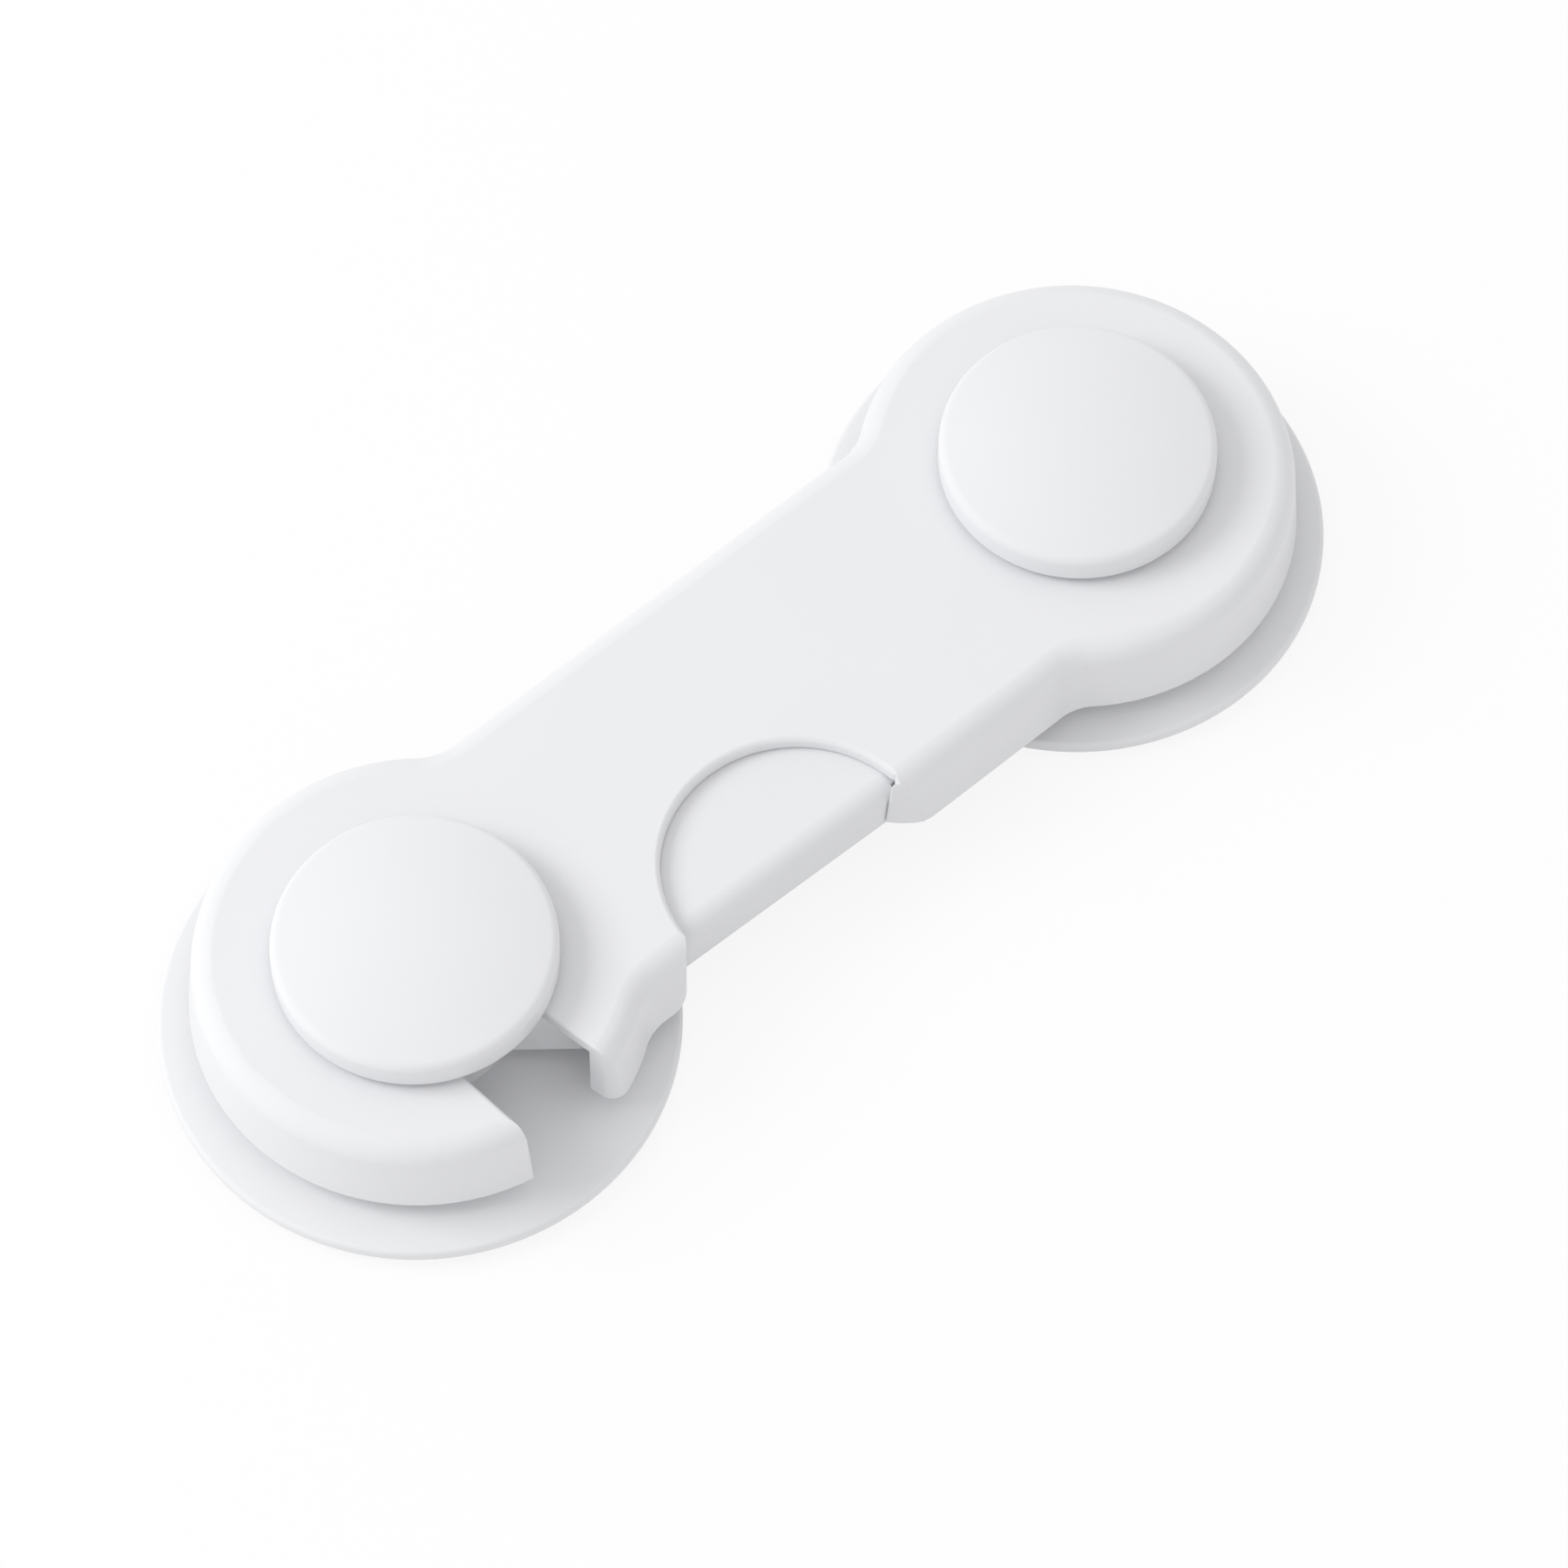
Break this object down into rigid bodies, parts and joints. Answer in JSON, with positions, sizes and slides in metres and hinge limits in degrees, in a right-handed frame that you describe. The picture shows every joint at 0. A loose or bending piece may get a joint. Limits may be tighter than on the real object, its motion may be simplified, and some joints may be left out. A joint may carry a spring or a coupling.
{
  "type": "cabinet safety lock",
  "caption": "White stick-on cabinet lock: a dog-bone arm swings on a pivot post, hooks round a catch post and is held there by a sprung thumb lever under domed button caps.",
  "frame": {"origin": "on the door face, midway between the pivot post and the catch post", "axes": "+X from the catch post to the pivot post, +Z away from the door face, the hook's mouth and the thumb notch face -Y"},
  "size_m": [0.12, 0.045, 0.0183],
  "materials": {
    "white_plastic": "satin gloss moulded",
    "lever_plastic": "satin gloss moulded",
    "inner_plastic": "matte moulded",
    "foam": "matte closed-cell foam",
    "steel": "plated"
  },
  "bodies": {
    "root": {"pivot_base": "white_plastic", "catch_base": "white_plastic", "pivot_pad": "foam", "catch_pad": "foam", "pivot_cap": "white_plastic", "catch_cap": "white_plastic", "pivot_screw": "steel", "catch_screw": "steel"},
    "arm": {"arm_shell": "white_plastic", "arm_plate": "inner_plastic", "plate_screws": "steel", "lever_pin": "steel", "lever_spring": "steel"},
    "lever": {"release_lever": "lever_plastic"}
  },
  "joints": [
    {"name": "arm_swing", "type": "hinge", "parent": "root", "child": "arm", "pos_m": [0.0375, 0, 0], "axis": [0, 0, -1], "range_deg": [0, 340]},
    {"name": "lever_press", "type": "hinge", "parent": "arm", "child": "lever", "pos_m": [-0.0309, 0.0095, 0], "axis": [0, 0, 1], "range_deg": [0, 9], "stiffness_Nm_per_rad": 0.3, "springref_deg": -2.86, "deforming": ["lever_spring"]}
  ]
}
